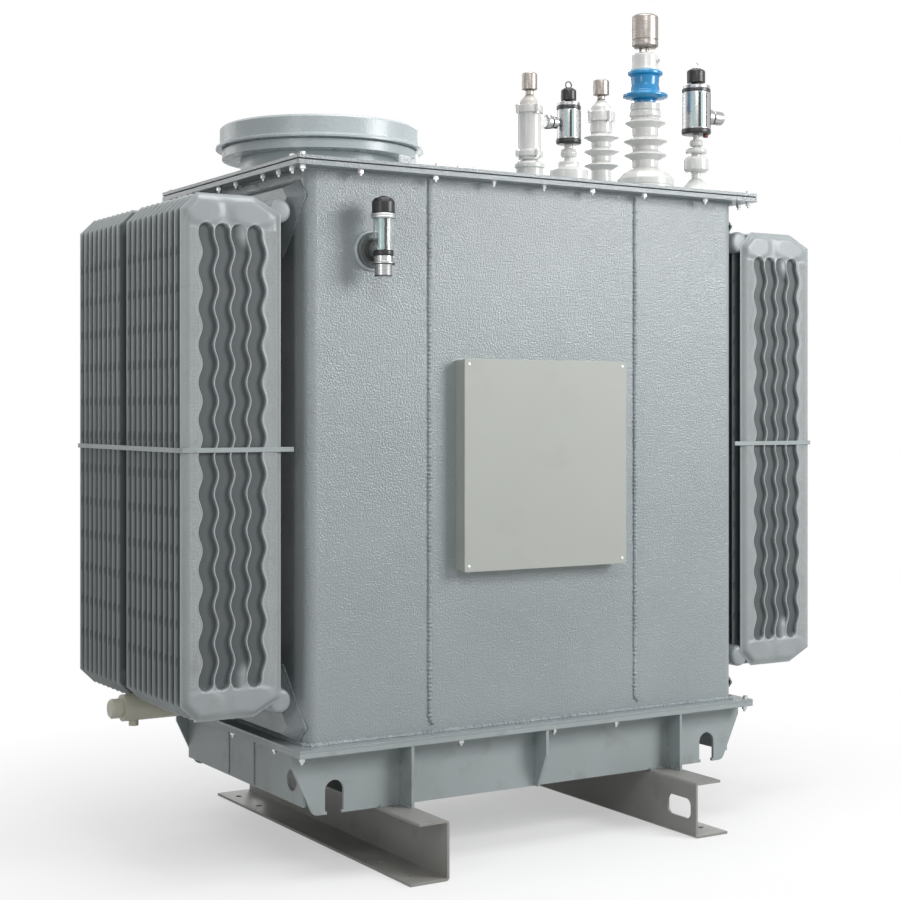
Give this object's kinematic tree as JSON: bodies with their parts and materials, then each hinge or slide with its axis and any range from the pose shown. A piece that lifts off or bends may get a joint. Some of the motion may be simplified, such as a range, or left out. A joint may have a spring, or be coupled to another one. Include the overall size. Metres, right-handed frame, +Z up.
{
  "type": "power transformer",
  "caption": "Oil-filled power transformer: a ribbed-base tank with wavy panel radiators at both ends, a round hatch and a row of bushings and gauges on the cover.",
  "frame": {"origin": "on the floor, at the middle of the bolt pattern in the skids, under the middle of the tank", "axes": "+Z up, +Y to the back, away from the wall with the cabinet and gauge, +X to the right"},
  "size_m": [2.4343, 1.372, 2.7105],
  "materials": {
    "tank_paint": "hammered grey-blue paint, satin",
    "frame_paint": "smooth grey-blue paint, satin",
    "cabinet_paint": "light warm grey paint, satin",
    "gasket_rubber": "matt black",
    "porcelain": "glazed off-white",
    "spool_blue": "glossy blue",
    "terminal_steel": "brushed",
    "gauge_metal": "polished",
    "gauge_glass": "clear",
    "cap_rubber": "satin black",
    "valve_paint": "ivory paint, satin"
  },
  "bodies": {
    "root": {"skid_right": "frame_paint", "skid_left": "frame_paint", "base_front_beam": "frame_paint", "base_back_beam": "frame_paint", "base_end_plates": "frame_paint", "base_front_ribs": "frame_paint", "base_back_ribs": "frame_paint", "base_deck": "tank_paint", "tank_bottom_flange": "tank_paint", "tank_body": "tank_paint", "tank_top_flange": "tank_paint", "cover_gasket": "gasket_rubber", "cover_plate": "tank_paint", "radiator_right_front": "tank_paint", "radiator_right_back": "tank_paint", "radiator_left_front": "tank_paint", "radiator_left_back": "tank_paint", "header_ducts_right": "tank_paint", "header_ducts_left": "tank_paint", "bank_strap_right": "tank_paint", "bank_strap_left": "tank_paint", "hatch_neck": "tank_paint", "hatch_flange": "tank_paint", "hatch_lid": "tank_paint", "low_bushing_body": "porcelain", "low_bushing_terminal": "terminal_steel", "middle_bushing_body": "porcelain", "middle_bushing_clamp": "porcelain", "middle_bushing_terminal": "terminal_steel", "high_bushing_body": "porcelain", "high_bushing_spool": "spool_blue", "high_bushing_head": "porcelain", "high_bushing_terminal": "terminal_steel", "left_gauge_foot": "valve_paint", "left_gauge_barrel": "gauge_metal", "left_gauge_cap": "cap_rubber", "right_gauge_foot": "porcelain", "right_gauge_barrel": "gauge_metal", "right_gauge_cap": "cap_rubber", "front_gauge_stub": "tank_paint", "front_gauge_body": "gauge_metal", "front_gauge_glass": "gauge_glass", "front_gauge_cap": "cap_rubber", "cabinet_body": "cabinet_paint", "cabinet_cover": "cabinet_paint", "drain_valve_body": "valve_paint", "drain_valve_cap": "valve_paint"}
  },
  "joints": []
}
